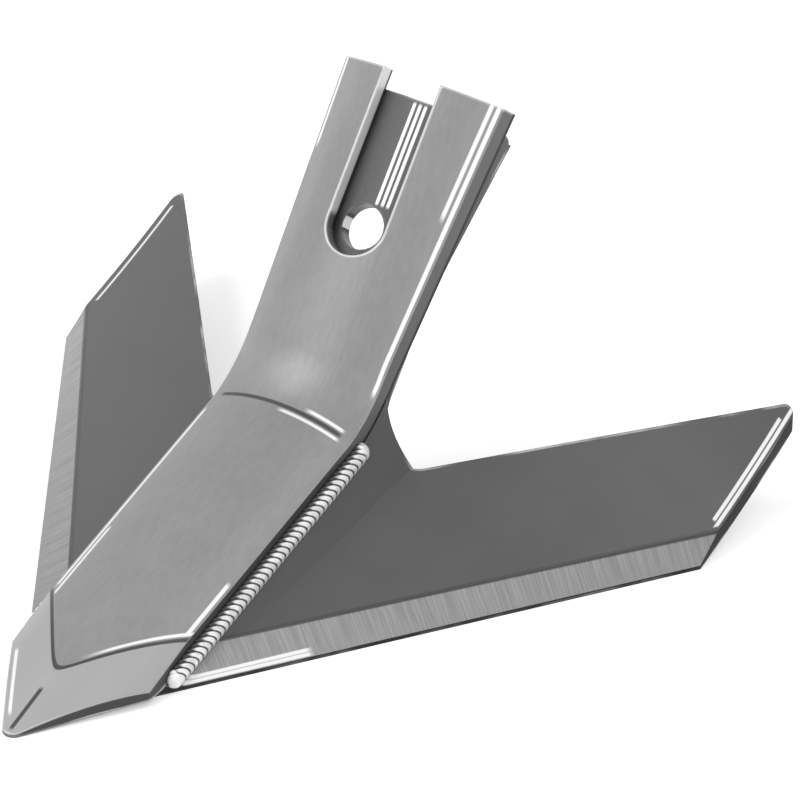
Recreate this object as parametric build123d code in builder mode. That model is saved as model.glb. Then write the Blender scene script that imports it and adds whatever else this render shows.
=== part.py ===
from build123d import *
import os
from math import cos, radians, sin, sqrt, tan

os.makedirs("parts", exist_ok=True)

# Goosefoot cultivator sweep with a wear point welded over its nose and stem.
# Millimetres and degrees. The cutting edges lie in the plane Z = 0, the nose points to -Y,
# the stem leans back towards +Y, and X = 0 is the plane of symmetry.
# The origin is on the ground, half way between the nose and the rear corners of the wings.
# A setback is measured from the tip of the nose, along Y.

# Wings, seen from above
span = 267.4
edge_angle = 31.4
back_angle = 38.8
tip_chord = 69.0
tip_taper = 2.1
tip_corner_radius = 2.6

# Wings, in section across the cutting edge
wing_thickness = 5.0
edge_height = 1.5
nose_bevel_width = 14.6
tip_bevel_width = 5.3
nose_pitch = 11.4
tip_pitch = 35.5

# Arch and side profile of the wear point's outer face
arch_radius = 53.0
crease_setback = 161.2
crease_height = 51.6
lower_slope = 16.6
crease_kink = 7.4
bend_radius = 43.5
bend_turn = 27.7
arch_half_angle = 80.0
stem_straight = 102.6

# Wear point
overlay_thickness = 6.0
overlay_lower_width = 56.6
overlay_top_width = 65.4
overlay_waist_setback = 186.5
overlay_waist_radius = 120.0
nose_overhang = 6.0
nose_angle = 31.2
nose_tip_radius = 4.0
nose_ridge_length = 26.0
nose_facet_length = 66.0
nose_facet_tilt = 7.0
nose_sole_slope = 3.0
slot_width = 22.8
hole_setback = 55.0

# Stem of the blade, behind the wear point
stem_thickness = 6.0
stem_top_width = 62.4
stem_step = 7.0
stem_corner_radius = 3.0
neck_width = 52.6
neck_setback = 212.0
neck_radius = 10.2
bolt_hole_diameter = 16.0
blade_nose_setback = 19.5

# Weld beads
bead_radius = 3.9
ripple_pitch = 3.9
ripple_rise = 2.4
ripple_count = 30
ripple_depth = 0.5
bead_setback = 169.0

# Two points nearer than this count as one
same_point = 0.01

# Sizes worked out from those above
half_span = span / 2
edge_run = half_span / tan(radians(edge_angle))
tail_half_angle = (back_angle + tip_taper) / 2
tail_lean = (back_angle - tip_taper) / 2
tail_rounding = tip_corner_radius * (cos(radians(tail_lean)) / sin(radians(tail_half_angle)) - 1)
overall_length = nose_overhang + edge_run + tip_chord - tail_rounding
nose_y = -overall_length / 2
edge_apex_y = nose_y + nose_overhang
shoulder_y = edge_apex_y + edge_run
tail_y = shoulder_y + tip_chord
tail_x = half_span - tip_chord * tan(radians(tip_taper))
stem_slope = lower_slope + crease_kink + bend_turn
bend_slope = lower_slope + crease_kink
blade_radius = arch_radius - overlay_thickness
core_radius = blade_radius - stem_thickness


def along(angle):
    """Unit vector in the plane of symmetry, at an angle above +Y."""
    return Vector(0, cos(radians(angle)), sin(radians(angle)))


def across(angle):
    """Unit vector square to along(angle), on the outer side of the arch."""
    return Vector(0, -sin(radians(angle)), cos(radians(angle)))


def arch_drop(radius, half_width):
    """How far an arch falls from its crown to its side."""
    return radius - sqrt(radius**2 - half_width**2)


def section_plane(point, angle):
    """Plane square to the crown line: its normal runs up the line, its Y points outwards."""
    return Plane(origin=point, x_dir=(-1, 0, 0), z_dir=along(angle))


# Crown line of the wear point: lower leg, crease, rounded bend, straight stem
crease = Vector(0, nose_y + crease_setback, crease_height)
bend_centre = crease + across(bend_slope) * bend_radius
stem_foot = bend_centre - across(stem_slope) * bend_radius
stem_top = stem_foot + along(stem_slope) * stem_straight
hole_point = stem_top - along(stem_slope) * hole_setback
bend_axis = Axis(bend_centre, (1, 0, 0))
crease_plane = Plane(origin=crease, x_dir=(1, 0, 0), z_dir=along(lower_slope + crease_kink / 2))
kink_reach = 2 * arch_radius * tan(radians(crease_kink))
lower_length = crease_setback / cos(radians(lower_slope)) + arch_radius
model_height = 2 * stem_top.Z


def crown_height(y):
    """Height of the lower leg's crown line over the ground."""
    return crease_height + (y - crease.Y) * tan(radians(lower_slope))


def arch_section(plane, outer, inner, half_angle):
    """Ring sector under the crown line, or a full sector where inner is 0."""
    side = 2 * arch_radius * sin(radians(half_angle))
    rise = 2 * arch_radius * cos(radians(half_angle)) - arch_radius
    with BuildSketch(plane) as section:
        with Locations((0, -arch_radius)):
            Circle(outer)
            if inner > 0:
                Circle(inner, mode=Mode.SUBTRACT)
        with BuildLine():
            Polyline(
                (0, -arch_radius),
                (side, rise),
                (side, arch_radius),
                (-side, arch_radius),
                (-side, rise),
                close=True,
            )
        make_face(mode=Mode.INTERSECT)
    return section.sketch


def bent_arch(outer, inner, half_angle, top_setback):
    """Arched plate along the whole crown line, mitred at the crease."""
    bend_start = arch_section(section_plane(crease, bend_slope), outer, inner, half_angle)
    straight = arch_section(section_plane(stem_foot, stem_slope), outer, inner, half_angle)
    lower = arch_section(section_plane(crease, lower_slope), outer, inner, half_angle)
    with BuildPart() as upper:
        extrude(bend_start, amount=-kink_reach)
        revolve(bend_start, bend_axis, bend_turn)
        extrude(straight, amount=stem_straight - top_setback)
        split(bisect_by=crease_plane, keep=Keep.TOP)
    with BuildPart() as arch:
        extrude(lower, amount=-lower_length)
        extrude(lower, amount=kink_reach)
        split(bisect_by=crease_plane, keep=Keep.BOTTOM)
        add(upper.part)
    return arch.part


def plan_outline(points, radii):
    """Symmetric outline on the ground plane, from its right half; radii go by corner number."""
    mirrored = [(-x, y) for x, y in reversed(points) if x > 0]
    with BuildSketch(Plane.XY) as outline:
        with BuildLine():
            Polyline(*points, *mirrored, close=True)
        make_face()
        for number, radius in radii.items():
            corner = Vector(*points[number])
            corners = outline.vertices().filter_by(
                lambda vertex: (Vector(abs(vertex.X), vertex.Y) - corner).length < same_point
            )
            fillet(corners, radius)
    return outline.sketch


# Wear point: arched strip, wider at the top, with an arrow nose ground on top and below
overlay_half = overlay_lower_width / 2
overlay_top_half = overlay_top_width / 2
arrow_y = nose_y - nose_tip_radius * (1 / sin(radians(nose_angle)) - 1)
overlay_waist_y = nose_y + overlay_waist_setback
overlay_corner = stem_top - across(stem_slope) * arch_drop(arch_radius, overlay_top_half)
overlay_flare = (overlay_top_half - overlay_half) / (overlay_corner.Y - overlay_waist_y)
overlay_back_y = stem_top.Y + arch_radius
overlay_points = [
    (0, arrow_y),
    (overlay_half, arrow_y + overlay_half / tan(radians(nose_angle))),
    (overlay_half, overlay_waist_y),
    (overlay_half + overlay_flare * (overlay_back_y - overlay_waist_y), overlay_back_y),
]
sole_plane = Plane(origin=(0, nose_y, 0), x_dir=(1, 0, 0), z_dir=across(nose_sole_slope))

# Each nose facet is the lower leg's own cylinder, tipped forward about the line from the
# ridge's inner end to the facet's outer corner
ridge_y = nose_y + nose_ridge_length
facet_y = nose_y + nose_facet_length
facet_drop = arch_drop(arch_radius, overlay_half) / cos(radians(lower_slope))
ridge_point = Vector(0, ridge_y, crown_height(ridge_y))
facet_point = Vector(overlay_half, facet_y, crown_height(facet_y) - facet_drop)

with BuildPart() as leg_cylinder:
    with BuildSketch(section_plane(crease, lower_slope)):
        with Locations((0, -arch_radius)):
            Circle(arch_radius)
    extrude(amount=-2 * lower_length)

with BuildPart() as ground_off:
    with BuildSketch(Plane.XY):
        with Locations((0, crease.Y)):
            Rectangle(half_span, overall_length, align=(Align.MIN, Align.MAX))
    extrude(amount=model_height)
    tipped = leg_cylinder.part.rotate(Axis(ridge_point, facet_point - ridge_point), nose_facet_tilt)
    add(tipped, mode=Mode.SUBTRACT)
    mirror(about=Plane.YZ)

with BuildPart() as nose_overlay:
    add(bent_arch(arch_radius, blade_radius, arch_half_angle, 0))
    outline = plan_outline(overlay_points, {0: nose_tip_radius, 2: overlay_waist_radius})
    extrude(outline, amount=model_height, mode=Mode.INTERSECT)
    split(bisect_by=sole_plane, keep=Keep.TOP)
    add(ground_off.part, mode=Mode.SUBTRACT)
    # U-shaped slot round the bolt hole, open at the top
    with BuildSketch(Plane(origin=hole_point, x_dir=(1, 0, 0), z_dir=across(stem_slope))):
        Circle(slot_width / 2)
        Rectangle(slot_width, 2 * hole_setback, align=(Align.CENTER, Align.MIN))
    extrude(amount=arch_radius / 2, both=True, mode=Mode.SUBTRACT)
nose_overlay.part.label = "nose_overlay"
export_step(nose_overlay.part, "parts/nose_overlay.step")

# Right wing: ruled between its section at the nose and a steeper one at the rear corner.
# It is left a little too wide at the back, for the outline to trim
edge_way = Vector(sin(radians(edge_angle)), cos(radians(edge_angle)), 0)
inward = Vector(-cos(radians(edge_angle)), sin(radians(edge_angle)), 0)
tail = Vector(tail_x, tail_y - edge_apex_y, 0)
tail_run = tail.dot(edge_way)
tail_reach = tail.dot(inward) + neck_radius
nose_reach = tail_reach + tail_run * tan(radians(back_angle - edge_angle))


def wing_plane(run):
    """Plane square to the right cutting edge: X points inwards, Y up."""
    return Plane(origin=Vector(0, edge_apex_y, 0) + edge_way * run, x_dir=inward, z_dir=edge_way)


def wing_section(run, reach, pitch, bevel):
    """Section of the plate, with its blunt edge and ground bevel."""
    rise = tan(radians(pitch))
    lift = wing_thickness / cos(radians(pitch))
    with BuildSketch(wing_plane(run)) as section:
        with BuildLine():
            Polyline(
                (0, 0),
                (0, edge_height),
                (bevel, bevel * rise + lift),
                (reach, reach * rise + lift),
                (reach, reach * rise),
                close=True,
            )
        make_face()
    return section.sketch


def under_section(run, reach, pitch):
    """Section of the open space under the plate."""
    with BuildSketch(wing_plane(run)) as section:
        with BuildLine():
            Polyline(
                (0, 0),
                (reach, reach * tan(radians(pitch))),
                (reach, -arch_radius),
                (0, -arch_radius),
                close=True,
            )
        make_face()
    return section.sketch


def both_sides(sections):
    """Ruled solid through the sections, kept right of the plane of symmetry, and its mirror."""
    with BuildPart() as pair:
        loft(sections, ruled=True)
        split(bisect_by=Plane.YZ, keep=Keep.TOP)
        mirror(about=Plane.YZ)
    return pair.part


wings = both_sides([
    wing_section(0, nose_reach, nose_pitch, nose_bevel_width),
    wing_section(tail_run, tail_reach, tip_pitch, tip_bevel_width),
])
under_wings = both_sides([
    under_section(0, nose_reach, nose_pitch),
    under_section(tail_run, tail_reach, tip_pitch),
])

# Blade: arched stem and wings in one plate, trimmed to one outline with a filleted neck
neck_half = neck_width / 2
stem_top_half = stem_top_width / 2
blade_front_y = nose_y + blade_nose_setback
blade_front_half = (blade_front_y - edge_apex_y) * tan(radians(edge_angle))
notch_y = tail_y - (tail_x - neck_half) / tan(radians(back_angle))
neck_y = nose_y + neck_setback
blade_corner = stem_top - along(stem_slope) * stem_step
blade_corner -= across(stem_slope) * (overlay_thickness + arch_drop(blade_radius, stem_top_half))
blade_flare = (stem_top_half - neck_half) / (blade_corner.Y - neck_y)
blade_back_y = stem_top.Y + arch_radius
blade_points = [
    (blade_front_half, blade_front_y),
    (half_span, shoulder_y),
    (tail_x, tail_y),
    (neck_half, notch_y),
    (neck_half, neck_y),
    (neck_half + blade_flare * (blade_back_y - neck_y), blade_back_y),
]

# What the rounded corners of the stem's top lose, cut square to the stem's own slope
with BuildPart() as stem_corners:
    with BuildSketch(Plane(origin=blade_corner, x_dir=(1, 0, 0), z_dir=across(stem_slope))):
        with Locations((stem_top_half, 0)):
            Rectangle(2 * stem_corner_radius, 2 * stem_corner_radius)
        with Locations((stem_top_half - stem_corner_radius, -stem_corner_radius)):
            Circle(stem_corner_radius, mode=Mode.SUBTRACT)
    extrude(amount=arch_radius, both=True)
    mirror(about=Plane.YZ)

with BuildPart() as sweep_blade:
    add(bent_arch(blade_radius, core_radius, arch_half_angle, stem_step))
    add(under_wings, mode=Mode.SUBTRACT)
    add(wings - bent_arch(core_radius, 0, arch_half_angle, stem_step))
    outline = plan_outline(blade_points, {2: tip_corner_radius, 3: neck_radius})
    extrude(outline, amount=model_height, mode=Mode.INTERSECT)
    add(nose_overlay.part, mode=Mode.SUBTRACT)
    with BuildSketch(Plane(origin=hole_point, x_dir=(1, 0, 0), z_dir=across(stem_slope))):
        Circle(bolt_hole_diameter / 2)
    extrude(amount=arch_radius / 2, both=True, mode=Mode.SUBTRACT)
    add(stem_corners.part, mode=Mode.SUBTRACT)
sweep_blade.part.label = "sweep_blade"
export_step(sweep_blade.part, "parts/sweep_blade.step")

# Weld bead along the wear point's right lower edge: a turned row of ripples with round ends
inner_drop = (overlay_thickness + arch_drop(blade_radius, overlay_half)) / cos(radians(lower_slope))
bead_y = nose_y + bead_setback
bead_start = Vector(overlay_half, bead_y, crown_height(bead_y) - inner_drop)
bead_length = ripple_count * ripple_pitch
bead_plane = Plane(origin=bead_start, x_dir=-along(lower_slope), z_dir=(1, 0, 0))
groove_radius = bead_radius - ripple_depth

with BuildPart() as weld_bead_right:
    with BuildSketch(bead_plane):
        with BuildLine():
            Line((bead_length + groove_radius, 0), (-groove_radius, 0))
            RadiusArc((-groove_radius, 0), (0, groove_radius), groove_radius)
            for ripple in range(ripple_count):
                start = ripple * ripple_pitch
                Line((start, groove_radius), (start + ripple_rise, bead_radius))
                Line((start + ripple_rise, bead_radius), (start + ripple_pitch, groove_radius))
            RadiusArc((bead_length, groove_radius), (bead_length + groove_radius, 0), groove_radius)
        make_face()
    revolve(axis=Axis(bead_start, along(lower_slope)))
    add(sweep_blade.part, mode=Mode.SUBTRACT)
    add(nose_overlay.part, mode=Mode.SUBTRACT)
    # Only the bead itself: a sliver that the plates cut off its end is dropped
    add(weld_bead_right.part.solids().sort_by(SortBy.VOLUME)[-1], mode=Mode.REPLACE)
weld_bead_right.part.label = "weld_bead_right"
export_step(weld_bead_right.part, "parts/weld_bead_right.step")

with BuildPart() as weld_bead_left:
    add(mirror(weld_bead_right.part, about=Plane.YZ))
weld_bead_left.part.label = "weld_bead_left"
export_step(weld_bead_left.part, "parts/weld_bead_left.step")
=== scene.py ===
from math import cos, pi, radians, sin, sqrt

import bmesh
import bpy
from mathutils import Matrix, Vector


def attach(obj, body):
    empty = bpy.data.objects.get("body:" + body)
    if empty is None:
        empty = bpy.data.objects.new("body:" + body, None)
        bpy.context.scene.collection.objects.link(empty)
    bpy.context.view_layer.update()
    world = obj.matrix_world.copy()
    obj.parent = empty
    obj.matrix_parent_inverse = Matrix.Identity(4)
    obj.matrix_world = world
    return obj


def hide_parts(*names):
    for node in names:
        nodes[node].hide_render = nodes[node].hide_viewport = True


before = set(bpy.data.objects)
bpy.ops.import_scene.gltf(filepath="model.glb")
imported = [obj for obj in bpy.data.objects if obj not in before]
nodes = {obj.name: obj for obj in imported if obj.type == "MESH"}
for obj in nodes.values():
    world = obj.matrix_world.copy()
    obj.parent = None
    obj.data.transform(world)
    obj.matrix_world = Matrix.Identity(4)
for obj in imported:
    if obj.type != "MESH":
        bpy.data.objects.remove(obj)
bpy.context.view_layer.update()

# The camera: a long lens, from the front right and above the nose.
# Its angles and place follow the drawing, whose vanishing lines are almost parallel.
view_place = (1.66938, -2.49947, 1.86031)
view_azimuth = radians(32.77)
view_elevation = radians(30.89)
view_roll = radians(1.32)
camera_data = bpy.data.cameras.new("view_camera")
camera_data.sensor_width = 36
camera_data.lens = 459.94
camera_data.clip_start = 0.1
camera_data.clip_end = 20
camera = bpy.data.objects.new("view_camera", camera_data)
bpy.context.scene.collection.objects.link(camera)
camera.matrix_world = (
    Matrix.Translation(view_place)
    @ Matrix.Rotation(view_azimuth, 4, "Z")
    @ Matrix.Rotation(radians(90) - view_elevation, 4, "X")
    @ Matrix.Rotation(view_roll, 4, "Z")
)
bpy.context.scene.camera = camera
bpy.context.scene.view_settings.view_transform = "Standard"

# The studio: a white floor that keeps the part's soft shadow, an even white surround,
# one large lamp at the upper left and four narrow ones whose reflections run down the arch.
floor_side = 12
floor_white = (0.93, 0.93, 0.93, 1)
floor_lift = 0.4
surround_level = 0.56
lit_point = Vector((0, 0, 0.05))


def shader_material(name):
    """A new material, its node tree and its surface shader."""
    material = bpy.data.materials.new(name)
    material.use_nodes = True
    tree = material.node_tree
    return material, tree, tree.nodes["Principled BSDF"]


def calculate(tree, operation, first, second=None, third=None):
    """A Math node on sockets or numbers; returns its output."""
    node = tree.nodes.new("ShaderNodeMath")
    node.operation = operation
    for socket, value in zip(node.inputs, (first, second, third)):
        if isinstance(value, bpy.types.NodeSocket):
            tree.links.new(value, socket)
        elif value is not None:
            socket.default_value = value
    return node.outputs[0]


def seen_directly(tree):
    """1 where the camera or a reflection looks straight at the studio, 0 for the light it gives."""
    light_path = tree.nodes.new("ShaderNodeLightPath")
    seen = light_path.outputs["Is Camera Ray"]
    for kind in ("Is Glossy Ray", "Is Transmission Ray"):
        seen = calculate(tree, "ADD", seen, light_path.outputs[kind])
    return seen


def soft_lamp(name, place, size, watts):
    """A rectangular lamp that faces the middle of the part."""
    lamp = bpy.data.lights.new(name, "AREA")
    lamp.shape = "RECTANGLE"
    lamp.size, lamp.size_y = size
    lamp.energy = watts
    holder = bpy.data.objects.new(name, lamp)
    holder.location = place
    aim = lit_point - Vector(place)
    holder.rotation_euler = aim.to_track_quat("-Z", "Y").to_euler()
    bpy.context.scene.collection.objects.link(holder)


bpy.ops.mesh.primitive_plane_add(size=floor_side, location=(0, 0, 0))
floor = bpy.context.object
floor.name = "studio_floor"
floor_material, tree, surface = shader_material("white_floor")
surface.inputs["Base Color"].default_value = floor_white
surface.inputs["Roughness"].default_value = 0.9
surface.inputs["Specular IOR Level"].default_value = 0.0
floor_glow = calculate(tree, "MULTIPLY", seen_directly(tree), floor_lift)
tree.links.new(floor_glow, surface.inputs["Emission Strength"])
floor.data.materials.append(floor_material)

world = bpy.data.worlds.new("studio")
bpy.context.scene.world = world
world.use_nodes = True
tree = world.node_tree
surround = tree.nodes["Background"]
surround.inputs["Color"].default_value = (1, 1, 1, 1)
strength = calculate(tree, "MULTIPLY_ADD", seen_directly(tree), 1 - surround_level, surround_level)
tree.links.new(strength, surround.inputs["Strength"])
soft_lamp("key_lamp", (-1.3, -1.1, 2.2), (1.6, 1.2), 30)
soft_lamp("stem_strip", (-0.42, -2.25, 1.95), (0.12, 1.3), 5)
soft_lamp("right_strip", (1.95, -1.58, 1.69), (0.14, 1.6), 12)
soft_lamp("left_strip", (-2.8, 0.1, 0.35), (0.3, 1.4), 4)
soft_lamp("top_strip", (0.8, 0.75, 2.2), (0.14, 1.3), 5)

# The sweep blade: one plate of spring steel, pressed hot to its arch, the wings swept back.
# It is coated dark grey; the top of each cutting edge is ground to a bright bevel.
edge_angle = radians(31.4)
edge_apex_y = -0.138786
tail_run = 0.3137
nose_bevel_width = 0.0146
tip_bevel_width = 0.0053
tip_x = 0.1337
tip_y = 0.08025
tip_taper = 0.03667
stem_slope = radians(51.7)
hole_y = 0.06236
hole_z = 0.10174
hole_radius = 0.008
blade_edge_rounding = 0.0011
blade_grain_depth = 0.00015
corner_shade_reach = 0.004
coat_dark = (0.051, 0.051, 0.0525, 1)
coat_light = (0.065, 0.065, 0.0665, 1)
bevel_dark = (0.22, 0.22, 0.223, 1)
bevel_light = (0.3, 0.3, 0.303, 1)
# Near white: for worn edges and for the painted highlights and reflections
wear_and_highlight_grey = (0.86, 0.86, 0.87, 1)
# Near black: for the dark lines and scale, and for painted shade in corners and seams
seam_and_shade_grey = (0.03, 0.03, 0.03, 1)
cut_grey = (0.035, 0.035, 0.036, 1)
sheared_grey = (0.17, 0.17, 0.173, 1)
wear_and_highlight_share = 0.85
corner_shade_share = 0.75
# The painted highlights: how far each lies from the middle or from its edge, and where it runs
stem_highlight_places = (0.0021, 0.0043, 0.0064)
stem_highlights_run = (0.009, 0.0466)
outer_tip_depth = 0.0014
inner_tip_depth = 0.0031
inner_tip_run = (0.094, 0.139)
bevel_highlight_depths = (0.0009, 0.0023)
bevel_highlights_run = (0.05, 0.109)
bevel_fade = 0.0002
hole_reflection_reach = 0.003
hole_reflection_depth = 0.0003


def ramp(tree, value, low, high):
    """0 below low, 1 above high, smooth between."""
    node = tree.nodes.new("ShaderNodeMapRange")
    node.interpolation_type = "SMOOTHSTEP"
    tree.links.new(value, node.inputs["Value"])
    node.inputs["From Min"].default_value = low
    node.inputs["From Max"].default_value = high
    return node.outputs[0]


def between(tree, value, low, high, fade=0.0015):
    """1 between two values, fading out past them."""
    above = ramp(tree, value, low - fade, low + fade)
    return calculate(tree, "MULTIPLY", above, ramp(tree, value, high + fade, high - fade))


def line_at(tree, distance, place=0.0, inner=0.0004, outer=0.0008):
    """1 on a line where the distance is that of its place, fading out between two half widths."""
    past = calculate(tree, "SUBTRACT", distance, place)
    return ramp(tree, calculate(tree, "ABSOLUTE", past), outer, inner)


def masked(tree, *masks):
    """The product of several masks or shares."""
    product = masks[0]
    for mask in masks[1:]:
        product = calculate(tree, "MULTIPLY", product, mask)
    return product


def widest(tree, *masks):
    """The largest of several masks."""
    largest = masks[0]
    for mask in masks[1:]:
        largest = calculate(tree, "MAXIMUM", largest, mask)
    return largest


def opposite(tree, mask):
    """0 where the mask is 1, and 1 where it is 0."""
    return calculate(tree, "SUBTRACT", 1.0, mask)


def on_right(tree, x):
    """1 on the right half of the part, 0 on the left."""
    return ramp(tree, x, -0.001, 0.001)


def up_a_slope(tree, y, z, foot_y, foot_z, slope):
    """Distance up a slope in the middle plane, from a point on it."""
    level = calculate(tree, "MULTIPLY", calculate(tree, "SUBTRACT", y, foot_y), cos(slope))
    rise = calculate(tree, "SUBTRACT", z, foot_z)
    return calculate(tree, "MULTIPLY_ADD", rise, sin(slope), level)


def place_on_part(tree):
    """The point on the part, then its x, its distance from the middle plane, its y and its z."""
    coordinates = tree.nodes.new("ShaderNodeTexCoord").outputs["Object"]
    parts = tree.nodes.new("ShaderNodeSeparateXYZ")
    tree.links.new(coordinates, parts.inputs[0])
    x, y, z = parts.outputs
    return coordinates, x, calculate(tree, "ABSOLUTE", x), y, z


def noise(tree, coordinates, scale, detail, stretch=(1, 1, 1)):
    """Noise at so many grains per metre, stretched along an axis if asked."""
    mapping = tree.nodes.new("ShaderNodeMapping")
    mapping.inputs["Scale"].default_value = stretch
    tree.links.new(coordinates, mapping.inputs["Vector"])
    texture = tree.nodes.new("ShaderNodeTexNoise")
    texture.inputs["Scale"].default_value = scale
    texture.inputs["Detail"].default_value = detail
    tree.links.new(mapping.outputs[0], texture.inputs["Vector"])
    return texture.outputs["Fac"]


def blend(tree, share, first, second):
    """Colour mix of two colours or sockets by a share from 0 to 1."""
    node = tree.nodes.new("ShaderNodeMix")
    node.data_type = "RGBA"
    share_socket, first_socket, second_socket = (node.inputs[place] for place in (0, 6, 7))
    for socket, value in ((share_socket, share), (first_socket, first), (second_socket, second)):
        if isinstance(value, bpy.types.NodeSocket):
            tree.links.new(value, socket)
        else:
            socket.default_value = value
    return node.outputs[2]


def facing_height(tree):
    """How far the surface looks up: 1 straight up, 0 level, -1 straight down."""
    geometry = tree.nodes.new("ShaderNodeNewGeometry")
    parts = tree.nodes.new("ShaderNodeSeparateXYZ")
    tree.links.new(geometry.outputs["True Normal"], parts.inputs[0])
    return parts.outputs[2]


def up_facing(tree):
    """1 on faces that look up, 0 on the underside and on upright walls."""
    return ramp(tree, facing_height(tree), 0.25, 0.4)


def cut_wall(tree):
    """1 on the upright walls that the shears and the drill leave, 0 on the plate's two faces."""
    return ramp(tree, calculate(tree, "ABSOLUTE", facing_height(tree)), 0.4, 0.25)


def rounded_normal(tree, radius):
    """The surface's direction, rounded over on the edges."""
    rounded = tree.nodes.new("ShaderNodeBevel")
    rounded.samples = 8
    rounded.inputs["Radius"].default_value = radius
    return rounded.outputs[0]


def edge_wear_and_highlight(tree, reach):
    """1 on an outer edge, where little metal lies behind the surface, 0 elsewhere; it brightens the
    edge as worn metal and as a painted highlight.
    """
    metal = tree.nodes.new("ShaderNodeAmbientOcclusion")
    metal.inside = True
    metal.samples = 16
    metal.inputs["Distance"].default_value = reach
    return opposite(tree, ramp(tree, metal.outputs["AO"], 0.62, 0.9))


def corner_shade(tree, reach):
    """Painted shade: 1 deep in a corner or a seam, where shade falls, 0 where the surface lies
    open.
    """
    shade = tree.nodes.new("ShaderNodeAmbientOcclusion")
    shade.samples = 8
    shade.inputs["Distance"].default_value = reach
    return opposite(tree, ramp(tree, shade.outputs["AO"], 0.45, 0.85))


def surface_grain(tree, surface, grain, depth, normal=None):
    """Bump from a grain, over a rounded normal if one is given."""
    bump = tree.nodes.new("ShaderNodeBump")
    bump.inputs["Distance"].default_value = depth
    tree.links.new(grain, bump.inputs["Height"])
    if normal is not None:
        tree.links.new(normal, bump.inputs["Normal"])
    tree.links.new(bump.outputs[0], surface.inputs["Normal"])


blade_material, tree, surface = shader_material("coated_blade_steel")
coordinates, x, side, y, z = place_on_part(tree)
on_top = up_facing(tree)
right_half = on_right(tree, x)
wall = cut_wall(tree)
# Depth is how far a point lies in from the cutting edge, and run how far along it from the nose
from_apex = calculate(tree, "SUBTRACT", y, edge_apex_y)
sideways = calculate(tree, "MULTIPLY", side, cos(edge_angle))
depth = calculate(tree, "MULTIPLY", from_apex, sin(edge_angle))
depth = calculate(tree, "SUBTRACT", depth, sideways)
run = calculate(tree, "MULTIPLY", from_apex, cos(edge_angle))
run = calculate(tree, "MULTIPLY_ADD", side, sin(edge_angle), run)
bevel_narrowing = (tip_bevel_width - nose_bevel_width) / tail_run
bevel_width = calculate(tree, "MULTIPLY_ADD", run, bevel_narrowing, nose_bevel_width)
past_bevel = calculate(tree, "SUBTRACT", depth, bevel_width)
ground = masked(tree, opposite(tree, ramp(tree, past_bevel, -bevel_fade, bevel_fade)), on_top)
bevel_line = masked(tree, line_at(tree, past_bevel, inner=0.0005, outer=0.001), on_top)
# Grinding marks run straight across the bevel, so they hardly change with the depth
across_bevel = tree.nodes.new("ShaderNodeCombineXYZ")
tree.links.new(run, across_bevel.inputs["X"])
tree.links.new(calculate(tree, "MULTIPLY", depth, 0.04), across_bevel.inputs["Y"])
grinding = noise(tree, across_bevel.outputs[0], scale=1300, detail=2)
mottle = ramp(tree, noise(tree, coordinates, scale=45, detail=5), 0.3, 0.7)
grain = noise(tree, coordinates, scale=900, detail=4)
# Painted highlights: three lines up the stem, some along the wings' tips, two along the
# bevel next to the weld, and a painted reflection on the wall of the hole
past_hole = up_a_slope(tree, y, z, hole_y, hole_z, stem_slope)
stem_highlight_lines = widest(tree, *[line_at(tree, x, place) for place in stem_highlight_places])
stem_highlight = masked(tree, stem_highlight_lines, on_top, between(tree, past_hole, *stem_highlights_run, 0.0008))
in_from_tip = calculate(tree, "MULTIPLY_ADD", y, -tip_taper, tip_x + tip_y * tip_taper)
in_from_tip = calculate(tree, "SUBTRACT", in_from_tip, side)
outer_tip_line = masked(tree, line_at(tree, in_from_tip, outer_tip_depth), right_half)
inner_tip_line = line_at(tree, in_from_tip, inner_tip_depth)
inner_tip_line = masked(tree, inner_tip_line, between(tree, y, *inner_tip_run, 0.0005))
tip_highlight = widest(tree, outer_tip_line, inner_tip_line)
tip_highlight = masked(tree, tip_highlight, ramp(tree, past_bevel, 0.001, 0.0016))
bevel_highlight_lines = widest(tree, *[line_at(tree, depth, place) for place in bevel_highlight_depths])
bevel_highlight = masked(tree, bevel_highlight_lines, right_half, between(tree, run, *bevel_highlights_run))
from_hole_side = calculate(tree, "SUBTRACT", side, hole_radius)
hole_side = between(tree, from_hole_side, -hole_reflection_depth, hole_reflection_depth, 0.0001)
hole_middle = between(tree, past_hole, -hole_reflection_reach, hole_reflection_reach)
above_wings = ramp(tree, z, 0.08, 0.085)
hole_reflection = masked(tree, hole_side, hole_middle, opposite(tree, on_top), above_wings)
painted_highlights = masked(tree, widest(tree, tip_highlight, bevel_highlight), on_top)
patches = ramp(tree, noise(tree, coordinates, scale=50, detail=3), 0.4, 0.7)
# Bright outer edges: partly worn metal, partly a painted highlight along them
wear_and_highlight = masked(tree, edge_wear_and_highlight(tree, blade_edge_rounding), patches, 0.6)
wear_and_highlight = widest(tree, wear_and_highlight, painted_highlights, stem_highlight, hole_reflection)
# The coat is thin on the sheared sides of the stem and thick on the other cut walls
stem_side = masked(tree, ramp(tree, z, 0.045, 0.06), ramp(tree, side, 0.012, 0.015))
coat = blend(tree, mottle, coat_dark, coat_light)
coat = blend(tree, wall, coat, blend(tree, stem_side, cut_grey, sheared_grey))
bright_bevel = blend(tree, ramp(tree, grinding, 0.3, 0.7), bevel_dark, bevel_light)
colour = blend(tree, ground, coat, bright_bevel)
colour = blend(tree, masked(tree, bevel_line, 0.92), colour, seam_and_shade_grey)
colour = blend(tree, masked(tree, wear_and_highlight, wear_and_highlight_share), colour, wear_and_highlight_grey)
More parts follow.
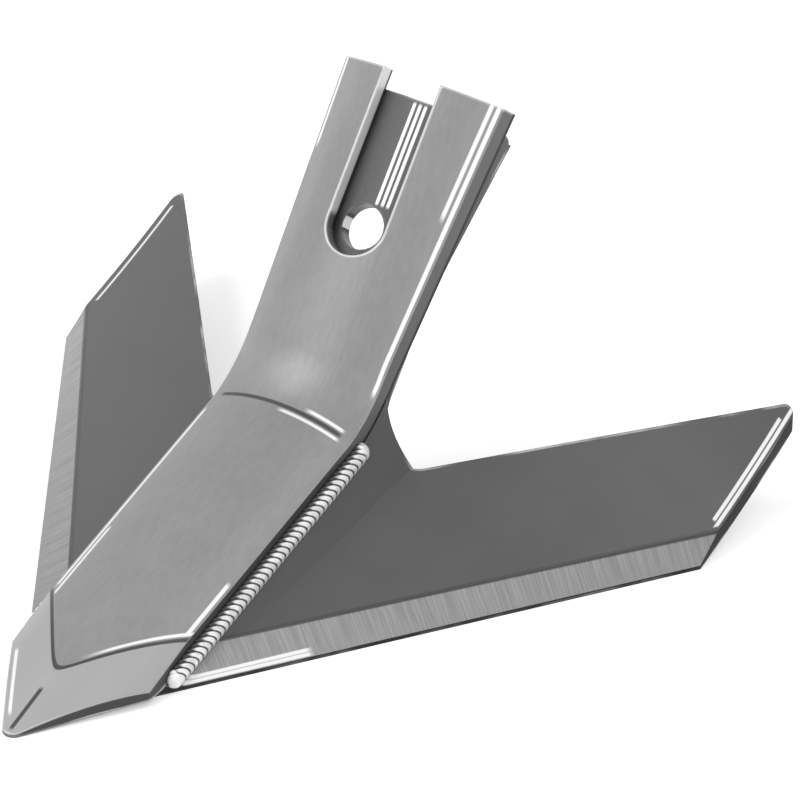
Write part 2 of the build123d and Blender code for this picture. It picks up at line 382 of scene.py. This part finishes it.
# Painted shade darkens corners and seams, but not the painted reflection in the hole
painted_corner_shade = calculate(tree, "SUBTRACT", corner_shade(tree, corner_shade_reach), hole_reflection)
colour = blend(tree, masked(tree, painted_corner_shade, corner_shade_share), colour, seam_and_shade_grey)
tree.links.new(colour, surface.inputs["Base Color"])
bare = masked(tree, widest(tree, ground, wear_and_highlight), 0.55)
tree.links.new(bare, surface.inputs["Metallic"])
roughness = calculate(tree, "MULTIPLY_ADD", mottle, 0.1, 0.46)
tree.links.new(roughness, surface.inputs["Roughness"])
gloss = calculate(tree, "MULTIPLY_ADD", wall, -0.42, 0.5)
tree.links.new(gloss, surface.inputs["Specular IOR Level"])
lacquer = calculate(tree, "MULTIPLY_ADD", wall, -0.35, 0.35)
tree.links.new(lacquer, surface.inputs["Coat Weight"])
surface.inputs["Coat Roughness"].default_value = 0.28
relief = calculate(tree, "MULTIPLY_ADD", ground, grinding, grain)
normal = rounded_normal(tree, blade_edge_rounding)
surface_grain(tree, surface, relief, blade_grain_depth, normal)
nodes["sweep_blade"].data.materials.clear()
nodes["sweep_blade"].data.materials.append(blade_material)

# The wear point: a thick strip of wear-resistant steel, bent and arched to lie on the stem.
# Mid grey and satin as it comes from the press, with two facets ground on its nose.
nose_y = -0.144786
ridge_y = nose_y + 0.026
facet_y = nose_y + 0.066
overlay_half = 0.0283
lower_slope = radians(16.6)
crease_turn = radians(7.4)
crease_y = nose_y + 0.1612
crease_z = 0.0516
ridge_rounding = 0.0025
ridge_line_run = (ridge_y - 0.024, ridge_y - 0.006)
arrow_y = nose_y - 0.003722
arrow_angle = radians(31.2)
arrow_line_run = (-0.137, -0.108)
waist_y = nose_y + 0.1865
flare = 0.0692
slot_half = 0.0114
arch_radius = 0.053
blade_radius = 0.047
bend_radius = 0.0435
bend_slope = lower_slope + crease_turn
bend_y = crease_y - sin(bend_slope) * bend_radius
bend_z = crease_z + cos(bend_slope) * bend_radius
stem_foot = -0.0476
past_top_y = 0.2
overlay_edge_rounding = 0.0014
overlay_bright_edge_reach = 0.0013
overlay_grain_depth = 0.0001
crease_highlight_gap = 0.0021
shoulder_highlight_gap = 0.0028
outer_line_depth = 0.0013
inner_line_depth = 0.0034
arrow_line_depth = 0.0021
right_outer_runs = ((0.0346, past_top_y), (facet_y - 0.009, -0.053))
right_inner_runs = ((0.0755, past_top_y),)
left_outer_runs = ((0.0835, past_top_y), (-0.077, 0.0115))
left_inner_runs = ((-0.085, -0.049),)
strip_dark = (0.238, 0.238, 0.241, 1)
strip_light = (0.262, 0.262, 0.265, 1)
facet_grey = (0.35, 0.35, 0.353, 1)
nose_wall_grey = (0.075, 0.075, 0.077, 1)


def diagonal(tree, first, second):
    """The distance that two distances at right angles make."""
    square = calculate(tree, "MULTIPLY", second, second)
    return calculate(tree, "SQRT", calculate(tree, "MULTIPLY_ADD", first, first, square))


def choose(tree, share, first, second):
    """The first value where the share is 0, the second where it is 1."""
    change = calculate(tree, "SUBTRACT", second, first)
    return calculate(tree, "MULTIPLY_ADD", change, share, first)


def kept_on(tree, line, y, runs):
    """A line that only shows on some runs along the part, each with its start and end."""
    return masked(tree, line, widest(tree, *[between(tree, y, *run) for run in runs]))


overlay_material, tree, surface = shader_material("satin_wear_steel")
coordinates, x, side, y, z = place_on_part(tree)
on_top = up_facing(tree)
right_half = on_right(tree, x)
# The facets end in a shoulder, a wide V whose point is rounded on the ridge between them
soft_side = calculate(tree, "SQRT", calculate(tree, "MULTIPLY_ADD", side, side, ridge_rounding**2))
shoulder_sweep = (facet_y - ridge_y) / overlay_half
shoulder = calculate(tree, "MULTIPLY_ADD", soft_side, shoulder_sweep, ridge_y)
before_shoulder = calculate(tree, "SUBTRACT", shoulder, y)
facet = masked(tree, ramp(tree, before_shoulder, -bevel_fade, bevel_fade), on_top)
shoulder_line = line_at(tree, before_shoulder, inner=0.0007, outer=0.0013)
shoulder_line = masked(tree, shoulder_line, on_top)
ridge_line = line_at(tree, side, inner=0.0005, outer=0.001)
ridge_line = masked(tree, ridge_line, facet, between(tree, y, *ridge_line_run, 0.001))
up_leg = up_a_slope(tree, y, z, crease_y, crease_z, lower_slope + crease_turn / 2)
inside = opposite(tree, ramp(tree, side, 0.0235, 0.0255))
crease_line = masked(tree, line_at(tree, up_leg, inner=0.0005, outer=0.0011), inside)
# Painted highlights on both sides of the crease and behind the shoulder
beyond_crease = line_at(tree, up_leg, crease_highlight_gap, outer=0.0009)
beyond_crease = masked(tree, beyond_crease, ramp(tree, x, 0.009, 0.013))
before_crease = line_at(tree, up_leg, -crease_highlight_gap, outer=0.0009)
before_crease = masked(tree, before_crease, ramp(tree, x, 0.0, 0.004))
crease_highlight = masked(tree, widest(tree, beyond_crease, before_crease), inside)
behind_shoulder = line_at(tree, before_shoulder, -shoulder_highlight_gap, inner=0.0006, outer=0.0012)
shoulder_highlight = masked(tree, behind_shoulder, on_top, ramp(tree, x, 0.004, 0.012))
# Painted highlights along the outer edges, in two rows at the nose and at the right of the top
half_width = calculate(tree, "MAXIMUM", calculate(tree, "SUBTRACT", y, waist_y), 0.0)
half_width = calculate(tree, "MULTIPLY_ADD", half_width, flare, overlay_half)
in_from_edge = calculate(tree, "SUBTRACT", half_width, side)
outer_line = line_at(tree, in_from_edge, outer_line_depth)
inner_line = line_at(tree, in_from_edge, inner_line_depth)
right_outer = kept_on(tree, outer_line, y, right_outer_runs)
right_inner = kept_on(tree, inner_line, y, right_inner_runs)
left_outer = kept_on(tree, outer_line, y, left_outer_runs)
left_inner = kept_on(tree, inner_line, y, left_inner_runs)
right_highlights = widest(tree, right_outer, right_inner)
left_highlights = widest(tree, left_outer, left_inner)
edge_highlights = choose(tree, right_half, left_highlights, right_highlights)
edge_highlights = masked(tree, edge_highlights, ramp(tree, before_shoulder, -0.0014, -0.0022))
in_from_arrow = calculate(tree, "MULTIPLY_ADD", y, sin(arrow_angle), -arrow_y * sin(arrow_angle))
in_from_arrow = calculate(tree, "MULTIPLY_ADD", side, -cos(arrow_angle), in_from_arrow)
arrow_line = line_at(tree, in_from_arrow, arrow_line_depth)
arrow_reach = between(tree, y, *arrow_line_run)
arrow_highlight = masked(tree, arrow_line, opposite(tree, right_half), arrow_reach)
painted_highlights = masked(tree, widest(tree, edge_highlights, arrow_highlight), on_top)
# The slot's straight walls are painted bright, a painted highlight
past_hole = up_a_slope(tree, y, z, hole_y, hole_z, stem_slope)
slot_wall_highlight = masked(
    tree,
    ramp(tree, side, slot_half + 0.0006, slot_half + 0.0002),
    opposite(tree, on_top),
    ramp(tree, past_hole, 0.0, 0.003),
)
# A dark joint shows where the plate lies on the blade, round the bend and up the stem
from_bend_y = calculate(tree, "SUBTRACT", y, bend_y)
from_bend_z = calculate(tree, "SUBTRACT", z, bend_z)
below_bend = diagonal(tree, from_bend_y, from_bend_z)
over_bend_axis = calculate(tree, "SUBTRACT", arch_radius + bend_radius, below_bend)
over_stem = up_a_slope(tree, y, z, hole_y, hole_z, stem_slope + pi / 2)
over_stem_axis = calculate(tree, "ADD", over_stem, arch_radius)
on_stem = ramp(tree, past_hole, stem_foot - 0.0001, stem_foot + 0.0001)
over_axis = choose(tree, on_stem, over_bend_axis, over_stem_axis)
joint = ramp(tree, diagonal(tree, side, over_axis), blade_radius + 0.0014, blade_radius + 0.0009)
joint = masked(tree, joint, opposite(tree, on_top), ramp(tree, up_leg, 0.0, 0.002))
dark_line = widest(tree, shoulder_line, ridge_line, crease_line, joint)
# The strip's grain runs along its length; the sheared sides are darker towards the nose
mottle = ramp(tree, noise(tree, coordinates, scale=38, detail=5), 0.3, 0.7)
grain = noise(tree, coordinates, scale=700, detail=4, stretch=(1, 0.25, 0.25))
# Bright outer edges: partly worn metal, partly a painted highlight along them
wear_and_highlight = masked(tree, edge_wear_and_highlight(tree, overlay_bright_edge_reach), 0.65, opposite(tree, joint))
wear_and_highlight = widest(tree, wear_and_highlight, crease_highlight, shoulder_highlight, painted_highlights)
strip = blend(tree, mottle, strip_dark, strip_light)
strip = blend(tree, masked(tree, ramp(tree, grain, 0.35, 0.65), 0.08), strip, seam_and_shade_grey)
sheared_side = blend(tree, ramp(tree, z, 0.037, 0.045), nose_wall_grey, sheared_grey)
colour = blend(tree, facet, strip, facet_grey)
colour = blend(tree, on_top, sheared_side, colour)
colour = blend(tree, slot_wall_highlight, colour, wear_and_highlight_grey)
colour = blend(tree, masked(tree, dark_line, 0.95), colour, seam_and_shade_grey)
colour = blend(tree, masked(tree, wear_and_highlight, wear_and_highlight_share), colour, wear_and_highlight_grey)
# Painted shade darkens corners and seams, less on the bright slot walls
corner_shade_amount = calculate(tree, "MULTIPLY_ADD", slot_wall_highlight, -0.45, corner_shade_share)
painted_corner_shade = masked(tree, corner_shade(tree, corner_shade_reach), corner_shade_amount)
colour = blend(tree, painted_corner_shade, colour, seam_and_shade_grey)
tree.links.new(colour, surface.inputs["Base Color"])
bare = calculate(tree, "MULTIPLY_ADD", widest(tree, facet, wear_and_highlight), 0.3, 0.3)
tree.links.new(bare, surface.inputs["Metallic"])
roughness = calculate(tree, "MULTIPLY_ADD", mottle, 0.1, 0.44)
tree.links.new(roughness, surface.inputs["Roughness"])
gloss = calculate(tree, "MULTIPLY_ADD", on_top, 0.42, 0.08)
tree.links.new(gloss, surface.inputs["Specular IOR Level"])
tree.links.new(masked(tree, on_top, 0.35), surface.inputs["Coat Weight"])
surface.inputs["Coat Roughness"].default_value = 0.28
normal = rounded_normal(tree, overlay_edge_rounding)
surface_grain(tree, surface, grain, overlay_grain_depth, normal)
nodes["nose_overlay"].data.materials.clear()
nodes["nose_overlay"].data.materials.append(overlay_material)

# The two weld beads: one run of filler on each side, laid in the corner under the wear
# point's edge. Bright metal, with a dark line of scale in the groove between one curved
# ripple and the next, and painted shade on the side towards the wear point and in the corner.
bead_start = Vector((overlay_half, 0.0242137, 0.037777))
bead_down = Vector((0, -cos(lower_slope), -sin(lower_slope)))
bead_up = Vector((0, -sin(lower_slope), cos(lower_slope)))
bead_radius = 0.0039
bead_length = 0.117
whole_length = bead_length + 2 * bead_radius
groove_depth = 0.0005
ripple_count = 46
ripple_bow = 0.0037
ripple_lean = radians(10)
ripple_fullness = 2.4
steps_per_ripple = 10
# Round the section: six parts lie open, one runs down the edge and one out along the blade
section_parts = 8
open_parts = 6
steps_per_part = 7
edge_turn = radians(90)
foot_turn = radians(-39.5)
crease = Vector((0, crease_y, crease_z))
scale_and_shade_depth = 0.00036
clean_depth = 0.00014
weld_corner_shade_reach = 0.003
weld_grain_depth = 0.00008
merge_distance = 0.00001
filler_dark = (0.76, 0.76, 0.76, 1)
filler_light = (0.95, 0.95, 0.95, 1)


def bead_mesh(name):
    """A rippled bead, flattened where it lies against the wear point and the blade's arch."""
    mesh = bmesh.new()
    bmesh.ops.create_grid(
        mesh,
        x_segments=ripple_count * steps_per_ripple,
        y_segments=section_parts * steps_per_part,
        size=0.5,
    )
    for vertex in mesh.verts:
        along = (vertex.co.x + 0.5) * whole_length
        part = (vertex.co.y + 0.5) * section_parts
        if part <= open_parts:
            turn, reach = foot_turn + (edge_turn - foot_turn) * part / open_parts, 1
        elif part < open_parts + 1:
            turn, reach = edge_turn, open_parts + 1 - part
        else:
            turn, reach = foot_turn, part - open_parts - 1
        bowed = along + ripple_bow * cos(turn + ripple_lean)
        phase = bowed * ripple_count / whole_length % 1
        swell = 1 - abs(2 * phase - 1) ** ripple_fullness
        from_end = min(along, whole_length - along) / bead_radius
        radius = bead_radius - groove_depth * (1 - swell) * min(from_end, 1) ** 2
        if from_end < 1:
            radius *= sqrt(1 - (1 - from_end) ** 2)
        outward = Vector((cos(turn), 0, 0)) + bead_up * sin(turn)
        place = bead_start + bead_down * (along - bead_radius) + outward * radius * reach
        # Points that would sink into the blade's arch are lifted onto it
        over_axis = (place - crease).dot(bead_up) + arch_radius
        lift = sqrt(blade_radius**2 - place.x**2) - over_axis
        vertex.co = place + bead_up * max(lift, 0)
    bmesh.ops.remove_doubles(mesh, verts=mesh.verts, dist=merge_distance)
    bmesh.ops.recalc_face_normals(mesh, faces=mesh.faces)
    data = bpy.data.meshes.new(name)
    mesh.to_mesh(data)
    mesh.free()
    for face in data.polygons:
        face.use_smooth = True
    return data


def vector_step(tree, operation, first, second=(0, 0, 0)):
    """A Vector Math node on a socket and a fixed vector; returns the output that it fills."""
    node = tree.nodes.new("ShaderNodeVectorMath")
    node.operation = operation
    tree.links.new(first, node.inputs[0])
    node.inputs[1].default_value = second
    return node.outputs["Value" if operation in ("LENGTH", "DOT_PRODUCT") else "Vector"]


weld_material, tree, surface = shader_material("bright_weld_metal")
coordinates, x, side, y, z = place_on_part(tree)
mirrored = tree.nodes.new("ShaderNodeCombineXYZ")
for socket, value in zip(mirrored.inputs, (side, y, z)):
    tree.links.new(value, socket)
offset = vector_step(tree, "SUBTRACT", mirrored.outputs[0], bead_start)
up_bead = vector_step(tree, "DOT_PRODUCT", offset, bead_up)
down_bead = vector_step(tree, "DOT_PRODUCT", offset, bead_down)
from_axis = vector_step(tree, "LENGTH", vector_step(tree, "CROSS_PRODUCT", offset, bead_down))
# Dark scale is left between the ripples; towards the wear point's edge the dark is widened into
# painted shade
painted_shade_side = ramp(tree, up_bead, 0.0026, 0.0041)
height = calculate(tree, "MULTIPLY_ADD", painted_shade_side, -scale_and_shade_depth, from_axis)
crest = ramp(tree, height, bead_radius - scale_and_shade_depth, bead_radius - clean_depth)
from_middle = calculate(tree, "ABSOLUTE", calculate(tree, "SUBTRACT", down_bead, bead_length / 2))
clean_end = ramp(tree, from_middle, bead_length / 2 - 0.001, bead_length / 2)
scale_spots = ramp(tree, noise(tree, coordinates, scale=300, detail=4), 0.35, 0.6)
filler = blend(tree, scale_spots, filler_dark, filler_light)
colour = blend(tree, widest(tree, crest, clean_end), seam_and_shade_grey, filler)
# Painted shade darkens the bead in its corner against the wear point and the blade
colour = blend(tree, corner_shade(tree, weld_corner_shade_reach), colour, seam_and_shade_grey)
tree.links.new(colour, surface.inputs["Base Color"])
surface.inputs["Metallic"].default_value = 0.25
surface.inputs["Roughness"].default_value = 0.38
grain = noise(tree, coordinates, scale=1200, detail=4)
surface_grain(tree, surface, grain, weld_grain_depth)
for bead, mirrors in (("weld_bead_right", False), ("weld_bead_left", True)):
    bead_data = bead_mesh(bead + "_ripples")
    if mirrors:
        bead_data.transform(Matrix.Scale(-1, 4, (1, 0, 0)))
        bead_data.flip_normals()
    bead_data.materials.append(weld_material)
    ripples = bpy.data.objects.new(bead + "_ripples", bead_data)
    bpy.context.scene.collection.objects.link(ripples)
    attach(ripples, "root")
    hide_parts(bead)
